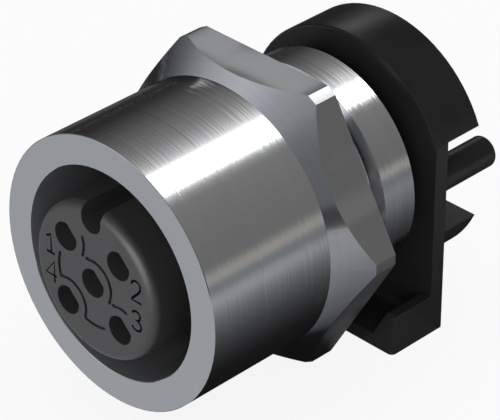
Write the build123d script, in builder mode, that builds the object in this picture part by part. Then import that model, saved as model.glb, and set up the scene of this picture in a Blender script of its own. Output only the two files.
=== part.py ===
from build123d import *
from math import cos, radians, sin
import os

# Straight M12 socket for a circuit board: five contacts, A coding, screwed into a panel from its front.
# The axis lies along Y, from the mating side at -Y to the board side at +Y, with +Z up.
# The origin is on the axis, in the plane where the rear face of the hexagon meets the panel.
# All sizes are in millimetres.

# Thread of the mating plug, cut inside the front of the shell
thread_diameter = 12.0
thread_pitch = 1.0
thread_depth_share = 0.54125
mating_bore_radius = thread_diameter / 2 - thread_depth_share * thread_pitch

# Turned metal shell
sleeve_radius = 7.0
sleeve_length = 7.5
hex_across_flats = 15.0
hex_corner_radius = 8.5
hex_thickness = 2.8
barrel_radius = 5.88
barrel_length = 4.6
barrel_front_y = 2.17
neck_depth = 0.4
barrel_lead_in = 0.4
edge_break = 0.03
web_front_y = -1.3
web_thickness = 1.9
barrel_wall = 0.88

# Ring seal that the hexagon presses on the panel
seal_section = 0.9
seal_stands_proud = 0.25
seal_land_width = 0.22
seal_side_clearance = 0.1

# Moulded carrier of the contacts
carrier_radius = 4.055
carrier_stands_proud = 1.0
carrier_edge_radius = 0.5
carrier_web_clearance = 0.05
collar_clearance = 0.05
collar_length = 3.0
rear_body_radius = 4.1

# Ring seal between the carrier's collar and the shell
inner_seal_section = 1.0
inner_seal_thickness = 0.8
inner_seal_corner_radius = 0.32
inner_seal_side_clearance = 0.1

# Coding slot in the carrier, at the top
key_slot_width = 1.3
key_slot_bottom_z = 2.75
key_slot_length = 9.0

# Contacts: four on a circle and one in the middle
contact_circle_radius = 2.5
contact_angles = (135, 45, -45, -135)
cavity_radius = 0.74
cavity_lip_reach = 0.52
cavity_lip_depth = 0.05
cavity_lip_thickness = 0.3
cavity_lip_angle = 45
contact_clearance = 0.04
contact_set_back = 1.2
pin_bore_radius = 0.5
pin_bore_depth = 6.0
tine_slot_width = 0.22
tine_slot_depth = 4.5
mouth_chamfer = 0.12
contact_collar_radius = 1.0
contact_collar_length = 0.8
contact_collar_clearance = 0.05
tail_radius = 0.5
tail_reach = 2.3
tail_point = 0.15

# Engraved lines between the contacts on the carrier's face
groove_width = 0.19
groove_depth = 0.14
groove_ring_radius = 1.24
groove_outer_radius = 2.3
groove_middle_arc = (-27, 134)
groove_upper_left_arc = (-24, 46)
groove_lower_left_arc = (-20, 130)
groove_lower_right_arc = (69, 40)
groove_left_arc = (163, 31)
groove_bottom_arc = (256, 31)

# Board-side base with its flange, foot, stand-offs and pegs
base_width = 12.0
base_arch_radius = 6.515
base_bottom_z = -8.2
flange_front_y = 5.52
flange_thickness = 0.84
standoff_length = 2.21
standoff_gap = 5.1
base_edge_radius = 0.12
recess_depth = 0.3
recess_clearance = 0.03
tail_hole_clearance = 0.1
peg_radius = 0.83
peg_spacing = 10.0
peg_reach = 1.68
peg_end_radius = 0.15

# Foot under the barrel, an open tray with a ledge along each side
foot_front_y = 2.78
foot_ledge_z = -5.95
foot_ledge_width = 0.52
foot_floor_thickness = 0.75
foot_floor_half_width = 4.72
foot_edge_radius = 0.3

# Places worked out from the sizes above
hex_front_y = -hex_thickness
ring_front_y = hex_front_y - sleeve_length
carrier_face_y = ring_front_y - carrier_stands_proud
web_rear_y = web_front_y + web_thickness
rear_bore_radius = barrel_radius - barrel_wall
web_bore_radius = carrier_radius + carrier_web_clearance
collar_radius = rear_bore_radius - collar_clearance
collar_rear_y = web_rear_y + collar_length
flange_rear_y = flange_front_y + flange_thickness
board_y = flange_rear_y + standoff_length
carrier_rear_y = flange_front_y + recess_depth
contact_radius = cavity_radius - contact_clearance
contact_front_y = carrier_face_y + contact_set_back
contact_collar_front_y = carrier_rear_y - contact_collar_length
contact_seat_radius = contact_collar_radius + contact_collar_clearance
tail_end_y = board_y + tail_reach
peg_end_y = board_y + peg_reach
foot_floor_z = base_bottom_z + foot_floor_thickness
seal_groove_inner_radius = barrel_radius + seal_land_width
seal_groove_outer_radius = seal_groove_inner_radius + seal_section + seal_side_clearance
seal_groove_depth = seal_section - seal_stands_proud
inner_groove_radius = rear_bore_radius - inner_seal_thickness
inner_groove_width = inner_seal_section + 2 * inner_seal_side_clearance
inner_groove_front_y = web_rear_y + (collar_length - inner_groove_width) / 2
inner_seal_centre = (rear_bore_radius - inner_seal_thickness / 2, web_rear_y + collar_length / 2)

contact_places = [
    (contact_circle_radius * cos(radians(a)), contact_circle_radius * sin(radians(a)))
    for a in contact_angles
]
contact_places.append((0.0, 0.0))

os.makedirs("parts", exist_ok=True)


def across(y):
    """The plane across the axis at y: x to the right and z up, with its normal towards the front."""
    return Plane.XZ.offset(-y)


# Shell: sleeve, hexagon, neck and rear barrel turned from one bar
with BuildPart() as shell:
    with BuildSketch(Plane.XY):
        with BuildLine():
            Polyline(
                (mating_bore_radius + edge_break, ring_front_y),
                (sleeve_radius - edge_break, ring_front_y),
                (sleeve_radius, ring_front_y + edge_break),
                (sleeve_radius, hex_front_y),
                (hex_corner_radius, hex_front_y + hex_corner_radius - sleeve_radius),
                (hex_corner_radius, 0),
                (seal_groove_outer_radius, 0),
                (seal_groove_outer_radius, -seal_groove_depth),
                (seal_groove_inner_radius, -seal_groove_depth),
                (seal_groove_inner_radius, 0),
                (barrel_radius - neck_depth, 0),
                (barrel_radius - neck_depth, barrel_front_y - neck_depth),
                (barrel_radius, barrel_front_y),
                (barrel_radius, barrel_length - barrel_lead_in),
                (barrel_radius - barrel_lead_in, barrel_length),
                (rear_bore_radius, barrel_length),
                (rear_bore_radius, web_rear_y),
                (web_bore_radius, web_rear_y),
                (web_bore_radius, web_front_y),
                (mating_bore_radius, web_front_y),
                (mating_bore_radius, ring_front_y + edge_break),
                close=True,
            )
        make_face()
    revolve(axis=Axis.Y)
    # The six flats take the round blank down to the hexagon
    with BuildSketch(across(0)):
        Circle(2 * hex_corner_radius)
        RegularPolygon(hex_across_flats / 2, 6, major_radius=False, mode=Mode.SUBTRACT)
    extrude(amount=hex_thickness, mode=Mode.SUBTRACT)
shell.part.label = "shell"

# Ring seal in the groove behind the hexagon
with BuildPart() as panel_seal:
    with BuildSketch(Plane.XY):
        with Locations((seal_groove_inner_radius + seal_section / 2, seal_stands_proud - seal_section / 2)):
            Circle(seal_section / 2)
    revolve(axis=Axis.Y)
panel_seal.part.label = "panel_seal"

# Carrier: the insulator that holds the five contacts and shows its coded face at the front
with BuildPart() as contact_carrier:
    with BuildSketch(Plane.XY):
        with BuildLine():
            Polyline(
                (0, carrier_face_y),
                (carrier_radius - carrier_edge_radius, carrier_face_y),
            )
            RadiusArc(
                (carrier_radius - carrier_edge_radius, carrier_face_y),
                (carrier_radius, carrier_face_y + carrier_edge_radius),
                -carrier_edge_radius,
            )
            Polyline(
                (carrier_radius, carrier_face_y + carrier_edge_radius),
                (carrier_radius, web_rear_y),
                (collar_radius, web_rear_y),
                (collar_radius, inner_groove_front_y),
                (inner_groove_radius, inner_groove_front_y),
                (inner_groove_radius, inner_groove_front_y + inner_groove_width),
                (collar_radius, inner_groove_front_y + inner_groove_width),
                (collar_radius, collar_rear_y),
                (rear_body_radius, collar_rear_y),
                (rear_body_radius, carrier_rear_y),
                (0, carrier_rear_y),
                (0, carrier_face_y),
            )
        make_face()
    revolve(axis=Axis.Y)
    # Cavities for the contacts, with a seat for each collar at the rear
    with BuildSketch(across(carrier_rear_y)):
        with Locations(*contact_places):
            Circle(cavity_radius)
    extrude(amount=carrier_rear_y - carrier_face_y, mode=Mode.SUBTRACT)
    with BuildSketch(across(carrier_rear_y)):
        with Locations(*contact_places):
            Circle(contact_seat_radius)
    extrude(amount=contact_collar_length, mode=Mode.SUBTRACT)
    # A small lip on one side of each cavity, just behind the face, keeps the contact from sliding forward
    lip_height = cavity_radius - cavity_lip_reach
    with BuildSketch(across(carrier_face_y + cavity_lip_depth)):
        for x, z in contact_places:
            with Locations(Location((x, z, 0), cavity_lip_angle)):
                with Locations((cavity_radius, 0)):
                    Rectangle(lip_height, 2 * cavity_radius, align=(Align.MAX, Align.CENTER))
    extrude(amount=-cavity_lip_thickness)
    # Coding slot with a round bottom, open at the face and at the side
    slot_radius = key_slot_width / 2
    with BuildSketch(across(carrier_face_y)):
        with Locations((0, key_slot_bottom_z + slot_radius)):
            Circle(slot_radius)
            Rectangle(key_slot_width, carrier_radius, align=(Align.CENTER, Align.MIN))
    extrude(amount=-key_slot_length, mode=Mode.SUBTRACT)
    # Engraved arcs round the cavities, and two more on a larger ring
    engraved_arcs = [
        (contact_places[4], groove_ring_radius, groove_middle_arc),
        (contact_places[0], groove_ring_radius, groove_upper_left_arc),
        (contact_places[3], groove_ring_radius, groove_lower_left_arc),
        (contact_places[2], groove_ring_radius, groove_lower_right_arc),
        (contact_places[4], groove_outer_radius, groove_left_arc),
        (contact_places[4], groove_outer_radius, groove_bottom_arc),
    ]
    for centre, radius, (start, sweep) in engraved_arcs:
        with BuildSketch(across(carrier_face_y)):
            with BuildLine():
                CenterArc(centre, radius, start, sweep)
                offset(amount=groove_width / 2)
            make_face()
        extrude(amount=-groove_depth, mode=Mode.SUBTRACT)
contact_carrier.part.label = "contact_carrier"

# Ring seal in the collar's groove, pressed flat between the groove and the shell
with BuildPart() as carrier_seal:
    with BuildSketch(Plane.XY):
        with Locations(inner_seal_centre):
            RectangleRounded(inner_seal_thickness, inner_seal_section, inner_seal_corner_radius)
    revolve(axis=Axis.Y)
carrier_seal.part.label = "carrier_seal"

# Contacts: a slotted socket at the front, a collar that is trapped by the base, and a solder tail
for number, (x, z) in enumerate(contact_places, start=1):
    with BuildPart() as contact:
        with BuildSketch(across(contact_front_y)):
            with Locations((x, z)):
                Circle(contact_radius)
        extrude(amount=contact_front_y - contact_collar_front_y)
        with BuildSketch(across(contact_collar_front_y)):
            with Locations((x, z)):
                Circle(contact_collar_radius)
        extrude(amount=-contact_collar_length)
        with BuildSketch(across(carrier_rear_y)):
            with Locations((x, z)):
                Circle(tail_radius)
        extrude(amount=carrier_rear_y - tail_end_y)
        chamfer(contact.faces().sort_by(Axis.Y)[-1].edges(), tail_point)
        # Bore for the plug's pin, widened at its mouth
        with BuildSketch(across(contact_front_y)):
            with Locations((x, z)):
                Circle(pin_bore_radius)
        extrude(amount=-pin_bore_depth, mode=Mode.SUBTRACT)
        chamfer(contact.faces().sort_by(Axis.Y)[0].inner_wires()[0].edges(), mouth_chamfer)
        # Two slots make four springy tines
        with BuildSketch(across(contact_front_y)):
            with Locations((x, z)):
                Rectangle(tine_slot_width, 2 * cavity_radius)
                Rectangle(2 * cavity_radius, tine_slot_width)
        extrude(amount=-tine_slot_depth, mode=Mode.SUBTRACT)
    contact.part.label = f"contact_{number}"
    export_step(contact.part, f"parts/contact_{number}.step")

# Base: the moulding that stands on the circuit board
with BuildPart() as pcb_base:
    # Flange: an arch over the axis, with flat sides down to the bottom
    with BuildSketch(across(flange_front_y)):
        Circle(base_arch_radius)
        Rectangle(base_width, 4 * base_arch_radius, mode=Mode.INTERSECT)
        Rectangle(base_width, -base_bottom_z, align=(Align.CENTER, Align.MAX))
    extrude(amount=-flange_thickness)
    # Foot that reaches forward under the barrel
    with BuildSketch(across(flange_front_y)):
        with Locations((0, base_bottom_z)):
            Rectangle(base_width, foot_ledge_z - base_bottom_z, align=(Align.CENTER, Align.MIN))
    extrude(amount=flange_front_y - foot_front_y)
    # The tray inside the foot, open at the front and at the top
    with BuildSketch(across(flange_front_y)):
        with BuildLine():
            Polyline(
                (-foot_floor_half_width, foot_floor_z),
                (foot_floor_half_width, foot_floor_z),
                (base_width / 2 - foot_ledge_width, foot_ledge_z),
                (foot_ledge_width - base_width / 2, foot_ledge_z),
                close=True,
            )
        make_face()
    extrude(amount=flange_front_y - foot_front_y, mode=Mode.SUBTRACT)
    # Rounded edges: at the foot's front corners and ledges, and along the tray's inner corner
    foot_front_edges = pcb_base.edges().group_by(Axis.Y)[0]
    foot_ledge_edges = foot_front_edges.filter_by(Axis.X).group_by(Axis.Z)[-1]
    fillet(foot_front_edges.filter_by(Axis.Z) + foot_ledge_edges, foot_edge_radius)
    fillet(pcb_base.edges().filter_by(Axis.X).filter_by_position(Axis.Z, foot_floor_z, foot_floor_z)
           .group_by(Axis.Y)[-1], foot_edge_radius)
    # Two stand-offs, segments of the round base with an open slot between them
    with BuildSketch(across(flange_rear_y)):
        Circle(base_arch_radius)
        Rectangle(4 * base_arch_radius, standoff_gap, mode=Mode.SUBTRACT)
    extrude(amount=-standoff_length)
    # Locating pegs for the board
    with BuildSketch(across(flange_rear_y)):
        with GridLocations(peg_spacing, 1, 2, 1):
            Circle(peg_radius)
    extrude(amount=flange_rear_y - peg_end_y)
    fillet(pcb_base.faces().sort_by(Axis.Y)[-2:].edges(), peg_end_radius)
    # The arch's edges at the front and the stand-offs' edges at the rear are broken
    arch_edges = pcb_base.edges().filter_by(GeomType.CIRCLE).filter_by(lambda e: e.radius == base_arch_radius)
    fillet(arch_edges.group_by(Axis.Y)[0], base_edge_radius)
    # Recess that seats the carrier, and holes for the solder tails
    with BuildSketch(across(flange_front_y)):
        Circle(rear_body_radius + recess_clearance)
    extrude(amount=-recess_depth, mode=Mode.SUBTRACT)
    with BuildSketch(across(flange_front_y)):
        with Locations(*contact_places):
            Circle(tail_radius + tail_hole_clearance)
    extrude(amount=-flange_thickness, mode=Mode.SUBTRACT)
pcb_base.part.label = "pcb_base"

export_step(shell.part, "parts/shell.step")
export_step(panel_seal.part, "parts/panel_seal.step")
export_step(contact_carrier.part, "parts/contact_carrier.step")
export_step(carrier_seal.part, "parts/carrier_seal.step")
export_step(pcb_base.part, "parts/pcb_base.step")
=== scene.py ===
from math import cos, pi, radians, sin

import bpy
from mathutils import Matrix, Vector


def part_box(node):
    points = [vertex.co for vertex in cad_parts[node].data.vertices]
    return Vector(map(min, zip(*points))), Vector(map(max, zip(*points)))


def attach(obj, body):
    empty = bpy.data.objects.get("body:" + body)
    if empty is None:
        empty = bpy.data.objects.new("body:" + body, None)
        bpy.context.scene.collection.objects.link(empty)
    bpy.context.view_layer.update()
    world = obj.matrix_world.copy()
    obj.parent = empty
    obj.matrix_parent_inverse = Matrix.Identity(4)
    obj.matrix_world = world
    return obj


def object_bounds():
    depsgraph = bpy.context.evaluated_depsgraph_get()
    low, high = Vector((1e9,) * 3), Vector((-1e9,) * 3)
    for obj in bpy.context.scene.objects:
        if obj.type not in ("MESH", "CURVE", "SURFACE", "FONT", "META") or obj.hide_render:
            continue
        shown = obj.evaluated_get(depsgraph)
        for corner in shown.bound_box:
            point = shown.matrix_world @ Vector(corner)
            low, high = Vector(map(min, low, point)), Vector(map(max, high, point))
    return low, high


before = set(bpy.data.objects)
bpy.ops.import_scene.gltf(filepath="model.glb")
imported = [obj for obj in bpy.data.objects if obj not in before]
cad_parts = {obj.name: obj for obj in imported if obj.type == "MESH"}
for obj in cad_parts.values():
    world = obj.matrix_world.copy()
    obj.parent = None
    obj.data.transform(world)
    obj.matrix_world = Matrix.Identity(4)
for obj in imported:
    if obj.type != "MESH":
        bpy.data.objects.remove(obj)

# Looks of a straight M12 socket: turned nickel-plated shell, black mouldings, gold-plated contacts.
# The axis of the socket lies along Y, with the mating side at -Y and +Z up. Sizes are in metres.
MM = 0.001
cad_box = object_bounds()
scene = bpy.context.scene

bpy.ops.object.select_all(action="DESELECT")

# Pieces and places that are read from the frame
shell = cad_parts["shell"]
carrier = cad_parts["contact_carrier"]
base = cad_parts["pcb_base"]
seals = [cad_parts[name] for name in ("panel_seal", "carrier_seal")]
contacts = [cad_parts[f"contact_{number}"] for number in range(1, 6)]
metal = [shell, *contacts]

shell_low, shell_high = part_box("shell")
object_low, object_high = cad_box
ring_y = shell_low.y
top_flat_z = shell_high.z
face_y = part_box("contact_carrier")[0].y
floor_z = object_low.z
middle = (object_low + object_high) / 2

# Camera at the photograph's angle, through a long lens
view_azimuth = radians(45.02)
view_elevation = radians(32.669)
view_distance = 136.877 * MM
view_right = 6.509 * MM
view_up = 2.978 * MM
view_origin = Vector((0, -10.28 * MM, 0))
lens_mm = 213.31


def add_camera():
    """The scene's camera, which looks at the socket from its upper right front."""
    back = Vector((
        sin(view_azimuth) * cos(view_elevation),
        -cos(view_azimuth) * cos(view_elevation),
        sin(view_elevation),
    ))
    right = Vector((cos(view_azimuth), sin(view_azimuth), 0))
    up = back.cross(right)
    data = bpy.data.cameras.new("camera")
    data.sensor_width = 36
    data.lens = lens_mm
    data.clip_start = 0.01
    data.clip_end = 20
    camera = bpy.data.objects.new("camera", data)
    place = view_origin + back * view_distance + right * view_right + up * view_up
    camera.matrix_world = Matrix.Translation(place) @ Matrix((right, up, back)).transposed().to_4x4()
    scene.collection.objects.link(camera)
    scene.camera = camera


add_camera()


# Shader helpers
def new_material(name):
    """A material with its Principled shader, as (material, node tree, shader)."""
    material = bpy.data.materials.new(name)
    material.use_nodes = True
    return material, material.node_tree, material.node_tree.nodes["Principled BSDF"]


def add_node(tree, kind, links=(), **settings):
    """A node with its settings, and with a link or a value for each of the inputs named in links."""
    node = tree.nodes.new(kind)
    for name, value in settings.items():
        setattr(node, name, value)
    for socket, value in links:
        if isinstance(value, bpy.types.NodeSocket):
            tree.links.new(value, node.inputs[socket])
        else:
            node.inputs[socket].default_value = value
    return node


def math_node(tree, operation, first, second=None, clamp=False):
    """One Math node's output."""
    links = [(0, first)]
    if second is not None:
        links.append((1, second))
    return add_node(tree, "ShaderNodeMath", links, operation=operation, use_clamp=clamp).outputs[0]


def vector_node(tree, operation, first, second=None, scale=None):
    """One Vector Math node's output."""
    links = [(0, first)]
    if second is not None:
        links.append((1, second))
    if scale is not None:
        links.append(("Scale", scale))
    node = add_node(tree, "ShaderNodeVectorMath", links, operation=operation)
    return node.outputs["Value" if operation in ("LENGTH", "DOT_PRODUCT") else "Vector"]


def rise_between(tree, value, low, high, top=1.0):
    """A value that grows from 0 at low to top at high, and stays there."""
    links = [("Value", value), ("From Min", low), ("From Max", high), ("To Max", top)]
    return add_node(tree, "ShaderNodeMapRange", links).outputs["Result"]


def ramp(tree, value, stops):
    """A colour ramp with its stops as (position, grey or colour)."""
    node = add_node(tree, "ShaderNodeValToRGB", [("Fac", value)])
    elements = node.color_ramp.elements
    while len(elements) > 1:
        elements.remove(elements[-1])
    for index, (position, colour) in enumerate(stops):
        element = elements[0] if index == 0 else elements.new(position)
        element.position = position
        rgb = colour if isinstance(colour, tuple) else (colour, colour, colour)
        element.color = (*rgb, 1)
    return node.outputs["Color"]


def noise(tree, scale, detail):
    """A cloudy pattern that stays on the piece, from 0 to 1."""
    place = add_node(tree, "ShaderNodeTexCoord").outputs["Object"]
    links = [("Vector", place), ("Scale", scale), ("Detail", detail)]
    return add_node(tree, "ShaderNodeTexNoise", links).outputs["Fac"]


def uneven(tree, cloud, low, high):
    """A colour or grey that goes from low to high as a noise goes through its middle range."""
    return ramp(tree, cloud, [(0.3, low), (0.7, high)])


# Turned metal: the walls of the sleeve, barrel and bore lie within the first radius, and the
# hexagon's sides beyond the second
turned_limit = 7.1 * MM
sides_from = 7.2 * MM

# A wall counts as turned where its normal has at least this share along the radius, and a side of
# the hexagon has less than this share along the axis
turned_from = 0.97
fully_turned = 0.99
side_limit = 0.1


def make_turning_group():
    """Node group of the marks that turning leaves round the Y axis.

    It gives their height and shade, the walls' exact normal, and which parts of the surface are the
    bore and the hexagon's sides.
    """
    group = bpy.data.node_groups.new("turning_marks", "ShaderNodeTree")
    for name, value in (("Fine Scale", 5000.0), ("Coarse Scale", 1500.0)):
        socket = group.interface.new_socket(name, in_out="INPUT", socket_type="NodeSocketFloat")
        socket.default_value = value
    for name in ("Height", "Shade", "Bore", "Flat"):
        group.interface.new_socket(name, in_out="OUTPUT", socket_type="NodeSocketFloat")
    group.interface.new_socket("Normal", in_out="OUTPUT", socket_type="NodeSocketVector")
    inputs = group.nodes.new("NodeGroupInput").outputs
    outputs = group.nodes.new("NodeGroupOutput").inputs

    coordinates = add_node(group, "ShaderNodeTexCoord").outputs
    normal = coordinates["Normal"]
    x, y, z = add_node(group, "ShaderNodeSeparateXYZ", [(0, coordinates["Object"])]).outputs
    spoke = add_node(group, "ShaderNodeCombineXYZ", [(0, x), (2, z)]).outputs[0]
    radius = vector_node(group, "LENGTH", spoke)

    # The rings depend only on the place along the axis and on the radius
    along = math_node(group, "ADD", y, radius)
    rings = {}
    for name, detail, roughness in (("Fine Scale", 2.0, 0.6), ("Coarse Scale", 3.0, 0.65)):
        rings[name] = add_node(group, "ShaderNodeTexNoise", [
            ("W", math_node(group, "MULTIPLY", along, inputs[name])),
            ("Scale", 1.0), ("Detail", detail), ("Roughness", roughness),
        ], noise_dimensions="1D").outputs["Fac"]
    height = math_node(group, "ADD", rings["Fine Scale"], rings["Coarse Scale"])

    # A turned wall's normal lies along the radius, away from the axis or, in the bore, towards it
    outward = vector_node(group, "NORMALIZE", spoke)
    facing = vector_node(group, "DOT_PRODUCT", outward, normal)
    turned = rise_between(group, math_node(group, "ABSOLUTE", facing), turned_from, fully_turned)

    # There the exact normal takes the mesh's place, so that the seam of the mesh doesn't show
    exact = vector_node(group, "SCALE", outward, scale=math_node(group, "SIGN", facing))
    change = vector_node(group, "SCALE", vector_node(group, "SUBTRACT", exact, normal), scale=turned)

    # The hexagon's sides stand further out than the other walls, and face across the axis
    outer = rise_between(group, radius, turned_limit, sides_from)
    extent = math_node(group, "MULTIPLY", turned, math_node(group, "SUBTRACT", 1.0, outer))
    bore = math_node(group, "MULTIPLY", extent, math_node(group, "LESS_THAN", facing, 0.0))
    along_share = add_node(group, "ShaderNodeSeparateXYZ", [(0, normal)]).outputs[1]
    across = math_node(group, "LESS_THAN", math_node(group, "ABSOLUTE", along_share), side_limit)

    group.links.new(math_node(group, "MULTIPLY", height, extent), outputs["Height"])
    group.links.new(rings["Coarse Scale"], outputs["Shade"])
    group.links.new(bore, outputs["Bore"])
    group.links.new(math_node(group, "MULTIPLY", outer, across), outputs["Flat"])
    group.links.new(vector_node(group, "ADD", change, normal), outputs["Normal"])
    return group


def make_nickel():
    """Nickel plate on turned brass: fine rings, milled flats that are duller and darker, and a dull bore."""
    turned_roughness = 0.15
    flat_more_roughness = 0.17
    bore_more_roughness = 0.30
    flat_darkening = 0.32
    bore_dullness = 0.40
    mark_depth = 0.010 * MM
    material, tree, shader = new_material("nickel_plate")
    marks = add_node(tree, "ShaderNodeGroup", node_tree=make_turning_group()).outputs
    plain = uneven(tree, marks["Shade"], (0.358, 0.365, 0.382), (0.374, 0.381, 0.398))
    milled = add_node(tree, "ShaderNodeMixRGB", [
        ("Fac", math_node(tree, "MULTIPLY", marks["Flat"], flat_darkening)),
        ("Color1", plain), ("Color2", (0, 0, 0, 1)),
    ]).outputs["Color"]
    tree.links.new(milled, shader.inputs["Base Color"])

    flat_share = math_node(tree, "MULTIPLY", marks["Flat"], flat_more_roughness)
    bore_share = math_node(tree, "MULTIPLY", marks["Bore"], bore_more_roughness)
    roughness = math_node(tree, "ADD", turned_roughness, flat_share)
    tree.links.new(math_node(tree, "ADD", roughness, bore_share), shader.inputs["Roughness"])
    dull_share = math_node(tree, "MULTIPLY", marks["Bore"], bore_dullness)
    tree.links.new(math_node(tree, "SUBTRACT", 1.0, dull_share), shader.inputs["Metallic"])
    bump = add_node(tree, "ShaderNodeBump", [
        ("Strength", 1.0), ("Distance", mark_depth), ("Height", marks["Height"]), ("Normal", marks["Normal"]),
    ])
    tree.links.new(bump.outputs["Normal"], shader.inputs["Normal"])
    return material


def make_plastic(name, dark, light, smooth, rough, sheen):
    """Moulded black plastic or rubber: a fine grain, with slightly uneven colour and roughness."""
    grain_depth = 0.01 * MM
    material, tree, shader = new_material(name)
    shader.inputs["Specular IOR Level"].default_value = sheen
    cloud = noise(tree, 400.0, 3.0)
    tree.links.new(uneven(tree, cloud, dark, light), shader.inputs["Base Color"])
    tree.links.new(uneven(tree, cloud, smooth, rough), shader.inputs["Roughness"])
    bump = add_node(tree, "ShaderNodeBump", [
        ("Strength", 0.12), ("Distance", grain_depth), ("Height", noise(tree, 9000.0, 2.0)),
    ])
    tree.links.new(bump.outputs["Normal"], shader.inputs["Normal"])
    return material


def make_gold():
    """Gold plate on the contacts, slightly uneven."""
    material, tree, shader = new_material("contact_gold")
    shader.inputs["Metallic"].default_value = 1.0
    cloud = noise(tree, 1200.0, 3.0)
    colour = uneven(tree, cloud, (0.72, 0.50, 0.18), (0.82, 0.60, 0.26))
    tree.links.new(colour, shader.inputs["Base Color"])
    tree.links.new(uneven(tree, cloud, 0.18, 0.28), shader.inputs["Roughness"])
    return material


carrier_plastic = make_plastic(
    "carrier_plastic", dark=(0.025, 0.025, 0.0262), light=(0.030, 0.030, 0.0315),
    smooth=0.48, rough=0.56, sheen=0.3)
base_plastic = make_plastic(
    "base_plastic", dark=(0.011, 0.011, 0.012), light=(0.014, 0.014, 0.015),
    smooth=0.34, rough=0.42, sheen=0.35)
seal_rubber = make_plastic(
    "seal_rubber", dark=(0.012, 0.012, 0.012), light=(0.018, 0.018, 0.018),
    smooth=0.6, rough=0.7, sheen=0.5)
digit_ink = make_plastic(
    "digit_ink", dark=(0.003, 0.003, 0.003), light=(0.005, 0.005, 0.005),
    smooth=0.75, rough=0.85, sheen=0.05)


def give(pieces, material):
    """These CAD pieces take a material in all their slots."""
    for piece in pieces:
        for slot in piece.material_slots:
            slot.material = material


give([shell], make_nickel())
give([carrier], carrier_plastic)
give([base], base_plastic)
give(seals, seal_rubber)
give(contacts, make_gold())

# Digits by the cavities: flattened strokes that stand a hair out of the carrier's face
stroke_width = 0.13 * MM
stroke_rise = 0.006 * MM

# Each digit's box on the face, as its lower left and upper right corners (x, z) in millimetres
digit_boxes = {
    "1": ((-3.16, 0.37), (-2.60, 1.42)),
    "2": ((2.61, 0.39), (3.28, 1.50)),
    "3": ((2.62, -1.22), (3.24, -0.16)),
    "4": ((-3.26, -1.24), (-2.52, -0.08)),
}

# Each digit's lines, as shares of its box's width and height
digit_lines = {
    "1": [[(0.03, 0.80), (0.35, 0.88), (0.58, 1.0), (0.58, 0.0)], [(0.0, 0.0), (1.0, 0.0)]],
    "2": [[(0.04, 0.76), (0.12, 0.90), (0.30, 0.98), (0.52, 1.0), (0.76, 0.95), (0.90, 0.82),
           (0.90, 0.66), (0.76, 0.50), (0.45, 0.30), (0.12, 0.10), (0.0, 0.0), (1.0, 0.0)]],
    "3": [[(0.04, 0.84), (0.20, 0.96), (0.46, 1.0), (0.74, 0.96), (0.88, 0.82), (0.84, 0.64),
           (0.66, 0.55), (0.40, 0.53), (0.72, 0.50), (0.94, 0.38), (0.98, 0.22), (0.84, 0.06),
           (0.52, 0.0), (0.20, 0.03), (0.0, 0.16)]],
    "4": [[(1.0, 0.33), (0.0, 0.33), (0.80, 1.0), (0.80, 0.0)]],
}


def add_digit(text, low, high):
    """One digit whose lines run in the box between two corners on the carrier's face."""
    curve = bpy.data.curves.new(f"digit_{text}", "CURVE")
    curve.dimensions = "3D"
    curve.bevel_depth = stroke_width / 2
    curve.bevel_resolution = 2
    curve.use_fill_caps = True
    for line in digit_lines[text]:
        spline = curve.splines.new("POLY")
        spline.points.add(len(line) - 1)
        for point, (across, along) in zip(spline.points, line):
            x = low[0] + across * (high[0] - low[0])
            z = low[1] + along * (high[1] - low[1])
            point.co = (x * MM, 0, z * MM, 1)
    digit = bpy.data.objects.new(f"digit_{text}", curve)
    scene.collection.objects.link(digit)
    bpy.ops.object.select_all(action="DESELECT")
    digit.select_set(True)
    bpy.context.view_layer.objects.active = digit
    bpy.ops.object.convert(target="MESH")
    digit = bpy.context.object
    # Half of each flattened stroke lies in the face, and half stands out of it
    for vertex in digit.data.vertices:
        vertex.co.y = face_y + vertex.co.y * 2 * stroke_rise / stroke_width
    digit.data.materials.append(digit_ink)
    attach(digit, "root")


for text, (low, high) in digit_boxes.items():
    add_digit(text, low, high)


# Floor and world
def add_floor():
    """A pale floor that shows white to the camera and in the metal, and keeps the object's soft shadow."""
    white_share = 0.9
    bpy.ops.mesh.primitive_plane_add(size=6, location=(0, 0, floor_z))
    floor = bpy.context.object
    floor.name = "floor"
    paint, tree, shader = new_material("floor_paint")
    shader.inputs["Base Color"].default_value = (0.9, 0.9, 0.9, 1)
    shader.inputs["Roughness"].default_value = 0.9
    shader.inputs["Specular IOR Level"].default_value = 0.0
    rays = add_node(tree, "ShaderNodeLightPath").outputs
    seen = math_node(tree, "ADD", rays["Is Camera Ray"], rays["Is Glossy Ray"])
    seen = math_node(tree, "ADD", seen, rays["Is Transmission Ray"], clamp=True)
    white = add_node(tree, "ShaderNodeEmission", [("Color", (1, 1, 1, 1)), ("Strength", 1.0)])
    share = math_node(tree, "MULTIPLY", seen, white_share)
    mix = add_node(tree, "ShaderNodeMixShader", [(0, share), (1, shader.outputs[0]), (2, white.outputs[0])])
    tree.links.new(mix.outputs[0], tree.nodes["Material Output"].inputs["Surface"])
    floor.data.materials.append(paint)
    return floor


def add_world():
    """An even, slightly warm light from all round."""
    world = bpy.data.worlds.new("studio")
    world.use_nodes = True
    background = world.node_tree.nodes["Background"]
    background.inputs["Color"].default_value = (1.0, 0.985, 0.965, 1)
    background.inputs["Strength"].default_value = 0.38
    scene.world = world


floor = add_floor()
add_world()


# Lamps
def towards(angle, along):
    """A direction from the object: its angle round the Y axis from +X towards +Z, and its share along +Y."""
    across = (1 - along * along) ** 0.5
    return Vector((cos(radians(angle)) * across, along, sin(radians(angle)) * across))


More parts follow.
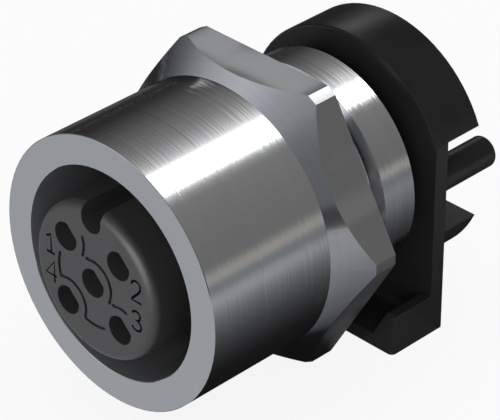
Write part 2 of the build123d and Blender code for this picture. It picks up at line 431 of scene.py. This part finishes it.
def add_lamp(name, direction, width, height, radiance, distance=0.5):
    """An area lamp that looks at the middle of the object, its width across the axis.

    Its face has a plain brightness, where 1 is white.
    """
    data = bpy.data.lights.new(name, "AREA")
    data.shape = "RECTANGLE"
    data.size = width
    data.size_y = height
    data.energy = radiance * pi * width * height
    lamp = bpy.data.objects.new(name, data)
    lamp.visible_camera = False
    scene.collection.objects.link(lamp)
    back = direction.normalized()
    across = Vector((0, 1, 0)).cross(back).normalized()
    turn = Matrix((across, back.cross(across), back)).transposed().to_4x4()
    lamp.matrix_world = Matrix.Translation(middle + back * distance) @ turn
    return lamp


def lights_only(item, pieces):
    """A lamp or an arch that lights these pieces alone."""
    receivers = bpy.data.collections.new(item.name + "_receivers")
    for piece in pieces:
        receivers.objects.link(piece)
    item.light_linking.receiver_collection = receivers


# The share along Y of the direction that the turned walls mirror to the camera
mirror_share = 0.595

# The key is the white band along the sleeve and the barrel
key = add_lamp("key", towards(84, mirror_share), width=0.14, height=0.36, radiance=5.0)
lights_only(key, metal)

# The soft light from above reaches everything but the carrier
top = add_lamp("top", Vector((-0.1, 0.1, 1)), width=0.8, height=0.8, radiance=1.0, distance=0.6)
top.visible_glossy = False
lights_only(top, [base, *seals, *metal, floor])

face_lamp = add_lamp("face_lamp", Vector((0.0, -1.0, 0.15)), width=0.36, height=0.36, radiance=9.5)
lights_only(face_lamp, [carrier])

# A shine on the carrier's round front edge
nose_lamp = add_lamp("nose_lamp", Vector((0.45, -0.80, 0.25)), width=0.3, height=0.3, radiance=12.0)
nose_lamp.visible_diffuse = False
lights_only(nose_lamp, [carrier])

front_lamp = add_lamp("front", Vector((0.60, -0.75, 0.30)), width=0.36, height=0.36, radiance=5.0)
front_lamp.visible_glossy = False
lights_only(front_lamp, [base])

# A small shine on top of the base's arch
arch_lamp = add_lamp("arch", towards(142, mirror_share), width=0.1, height=0.1, radiance=3.0)
lights_only(arch_lamp, [base])

bore_lamp = add_lamp("bore_lamp", Vector((0.60, -0.62, 0.50)), width=0.2, height=0.2, radiance=4.0)
bore_lamp.visible_glossy = False
lights_only(bore_lamp, [shell])


# Arches, mats and cards that glow only in reflections: painted reflections that the metal mirrors, their dark
# parts standing for shade
def reflections_only(card):
    """A glowing surface that only reflections see, so its glow is a painted reflection. It lights nothing and
    throws no shadow.
    """
    card.visible_camera = False
    card.visible_diffuse = False
    card.visible_transmission = False
    card.visible_shadow = False


def glow_by(name, colour, measure, stops, one_sided=False):
    """A glowing paint whose brightness follows a measure of the place on it, given at stops."""
    paint = bpy.data.materials.new(name)
    paint.use_nodes = True
    tree = paint.node_tree
    place = add_node(tree, "ShaderNodeTexCoord").outputs["Object"]
    parts = add_node(tree, "ShaderNodeSeparateXYZ", [(0, place)]).outputs
    first, last = stops[0][0], stops[-1][0]
    share = rise_between(tree, measure(tree, parts), first, last)
    level = ramp(tree, share, [((at - first) / (last - first), value) for at, value in stops])
    tint = add_node(tree, "ShaderNodeMixRGB", [
        ("Fac", 1.0), ("Color1", level), ("Color2", (*colour, 1)),
    ], blend_type="MULTIPLY").outputs["Color"]
    shine = add_node(tree, "ShaderNodeEmission", [("Color", tint), ("Strength", 1.0)]).outputs[0]
    if one_sided:
        behind = add_node(tree, "ShaderNodeNewGeometry").outputs["Backfacing"]
        clear = add_node(tree, "ShaderNodeBsdfTransparent").outputs[0]
        shine = add_node(tree, "ShaderNodeMixShader", [(0, behind), (1, shine), (2, clear)]).outputs[0]
    tree.links.new(shine, tree.nodes["Material Output"].inputs["Surface"])
    return paint


def along_x(tree, parts):
    """The place along X."""
    return parts[0]


def along_z(tree, parts):
    """The place along Z."""
    return parts[2]


def add_card(name, place, paint):
    """A flat card made from a square of one metre, which a matrix sizes, turns and moves into its place."""
    bpy.ops.mesh.primitive_plane_add(size=1)
    card = bpy.context.object
    card.name = name
    card.data.transform(place)
    card.data.materials.append(paint)
    reflections_only(card)


def add_mat(name, corners, rise, colour, stops):
    """A glowing mat flat on the floor between four corners, seen only in reflections as a painted reflection,
    its brightness given at places along X.
    """
    bpy.ops.mesh.primitive_plane_add(size=1)
    mat = bpy.context.object
    mat.name = name
    for index, (x, y) in zip(mat.data.polygons[0].vertices, corners):
        mat.data.vertices[index].co = (x, y, floor_z + rise)
    mat.data.materials.append(glow_by(name + "_paint", colour, along_x, stops))
    reflections_only(mat)


def oblong(low_x, low_y, high_x, high_y):
    """The corners of an oblong on the floor, its sides along X and Y, anticlockwise from above."""
    return (low_x, low_y), (high_x, low_y), (high_x, high_y), (low_x, high_y)


arch_radius = 0.6
lean_from = 50.0
full_lean_from = 90.0
no_lean_y = 0.445


def add_arch(name, low_y, high_y, colour, stops, lean=0.0):
    """An arch over the object that glows only in reflections of the metal, as a painted reflection: a tube
    round the Y axis, whose lower half lies under the floor.

    Its brightness is given at angles from +X towards +Z. Its upper bands lean by some degrees for each
    metre along Y, so that the turning marks catch them.
    """
    def leaning_angle(tree, parts):
        """The angle of a place on the arch, in degrees, with the lean of the upper bands added."""
        angle = math_node(tree, "ABSOLUTE", math_node(tree, "ARCTAN2", parts[2], parts[0]))
        angle = math_node(tree, "DEGREES", angle)
        slope = rise_between(tree, angle, lean_from, full_lean_from, top=lean)
        offset = math_node(tree, "SUBTRACT", parts[1], no_lean_y)
        return math_node(tree, "ADD", angle, math_node(tree, "MULTIPLY", slope, offset))

    bpy.ops.mesh.primitive_cylinder_add(
        vertices=96, radius=arch_radius, depth=high_y - low_y, end_fill_type="NOTHING")
    arch = bpy.context.object
    arch.name = name
    lying = Matrix.Rotation(pi / 2, 4, "X")
    arch.data.transform(Matrix.Translation((0, (low_y + high_y) / 2, 0)) @ lying)
    arch.data.materials.append(glow_by(name + "_paint", colour, leaning_angle, stops))
    reflections_only(arch)
    lights_only(arch, metal)


# Where the two arches meet, and where each ends
arches_meet_y = -0.03
rear_end_y = 0.85
front_end_y = -1.3

# A painted reflection to the rear, for the sleeve and the barrel: a warm edge above the floor, then greys,
# a painted highlight on the bright side of the key's band, and dark towards the far side
add_arch("rear_arch", arches_meet_y, rear_end_y, (1.0, 0.985, 0.955), [
    (0, (0.78, 0.76, 0.69)), (3, (0.79, 0.77, 0.69)), (9, 0.34), (50, 0.41), (68, 0.42),
    (90, 2.2), (97, 1.7), (106, 0.92), (118, 0.50), (138, 0.27), (150, 0.175), (160, 0.11),
    (170, 0.06), (180, 0.04)], lean=-110.0)

# A painted reflection to the front, for the hexagon's cone
add_arch("front_arch", front_end_y, arches_meet_y, (0.94, 0.96, 1.0), [
    (0, 0.09), (2, 0.09), (6, 0.28), (50, 0.31), (70, 0.42), (82, 0.63), (92, 0.70), (102, 0.82),
    (111, 0.98), (123, 1.12), (135, 1.02), (149, 0.80), (155, 0.64), (161, 0.48), (167, 0.31),
    (173, 0.20), (180, 0.15)])

# Mats on the floor, each a little above the one that it covers, glowing only in reflections. They are painted
# reflections of the floor, darkest under the object, where they stand for the shade under it, and dark also
# to the left. The first three lie side by side.
low_rise = 0.03 * MM
mid_rise = 0.06 * MM
high_rise = 0.09 * MM
mats_front_y = ring_y + 0.1 * MM
mats_rear_y = 0.6
left_mat_x = -0.5
near_mat_x = -0.005
far_mat_x = 0.045
mats_right_x = 0.6
mat_colour = (0.97, 0.98, 1.0)

add_mat("left_mat", oblong(left_mat_x, mats_front_y, near_mat_x, mats_rear_y), low_rise, mat_colour, [
    (-0.10, 0.03), (-0.06, 0.05), (-0.04, 0.12), (-0.03, 0.10), (near_mat_x, 0.012)])
add_mat("near_mat", oblong(near_mat_x, mats_front_y, far_mat_x, mats_rear_y), low_rise, mat_colour, [
    (near_mat_x, 0.012), (0.004, 0.011), (0.007, 0.02), (0.009, 0.043), (0.0125, 0.11), (0.018, 0.245),
    (0.0225, 0.365), (0.030, 0.59), (0.036, 0.74), (far_mat_x, 0.72)])
add_mat("far_mat", oblong(far_mat_x, mats_front_y, mats_right_x, mats_rear_y), low_rise, mat_colour, [
    (far_mat_x, 0.72), (0.053, 0.60), (0.063, 0.49), (0.080, 0.40), (0.10, 0.385), (0.15, 0.44),
    (0.28, 0.57)])

# The lower right flat mirrors a small grey mat, and the barrel one that starts behind the hexagon: painted
# reflections, dark where they stand for the shade under the object
flat_corners = ((0.004, 0.0006), (0.0095, 0.0026), (0.0095, 0.006), (0.004, 0.006))
add_mat("flat_mat", flat_corners, high_rise, mat_colour, [(0.004, 0.12), (0.0095, 0.12)])
barrel_corners = ((0.003, 0.0002), (mats_right_x, 0.406), (mats_right_x, 1.2), (0.003, 1.2))
add_mat("barrel_mat", barrel_corners, mid_rise, mat_colour, [
    (0.003, 0.02), (0.0081, 0.07), (0.0104, 0.12), (0.0135, 0.20), (0.0185, 0.34), (0.0284, 0.47),
    (0.040, 0.47), (0.060, 0.36), (0.102, 0.40), (0.150, 0.50), (0.280, 0.70)])

# The front ring mirrors a pale mat, and the hexagon's lower corner a dark one, as painted reflections; the
# dark one is painted shade
add_mat("front_mat", oblong(-0.06, -0.10, 0.03, mats_front_y), low_rise, (0.95, 0.97, 1.0), [
    (-0.06, 0.79), (0.03, 0.85)])
add_mat("corner_shade_mat", oblong(0.04, -0.7, 0.7, -0.045), mid_rise, (1, 1, 1), [(0.04, 0.10), (0.7, 0.10)])

# An upright card in front of the hexagon's cone, glowing only on the side that faces it: a painted
# reflection, darker towards the floor
card_left = 2 * MM
card_right = 30 * MM
card_y = -3.2 * MM
card_top = 1.8 * MM
card_middle = ((card_left + card_right) / 2, card_y, (floor_z + card_top) / 2)
card_size = Matrix.Diagonal((card_right - card_left, 1, card_top - floor_z, 1))
upright = Matrix.Rotation(-pi / 2, 4, "X")
add_card("cone_card", Matrix.Translation(card_middle) @ card_size @ upright, glow_by(
    "cone_card_paint", (0.94, 0.95, 1.0), along_z,
    [(-0.0082, 0.05), (-0.003, 0.30), (-0.001, 0.48), (0.0005, 0.66), (0.0018, 0.72)], one_sided=True))

# A small card close above the upper flat, so that hardly anything else mirrors it: a painted highlight that
# brightens the flat
flat_card_middle = (-0.8 * MM, -0.1 * MM, top_flat_z + 0.6 * MM)
flat_card_size = Matrix.Diagonal((7.6 * MM, 2.4 * MM, 1, 1))
add_card("flat_card", Matrix.Translation(flat_card_middle) @ flat_card_size, glow_by(
    "flat_card_paint", (1, 1, 1), along_x, [(-0.006, 0.98), (0.004, 0.98)]))

scene.view_settings.view_transform = "Standard"
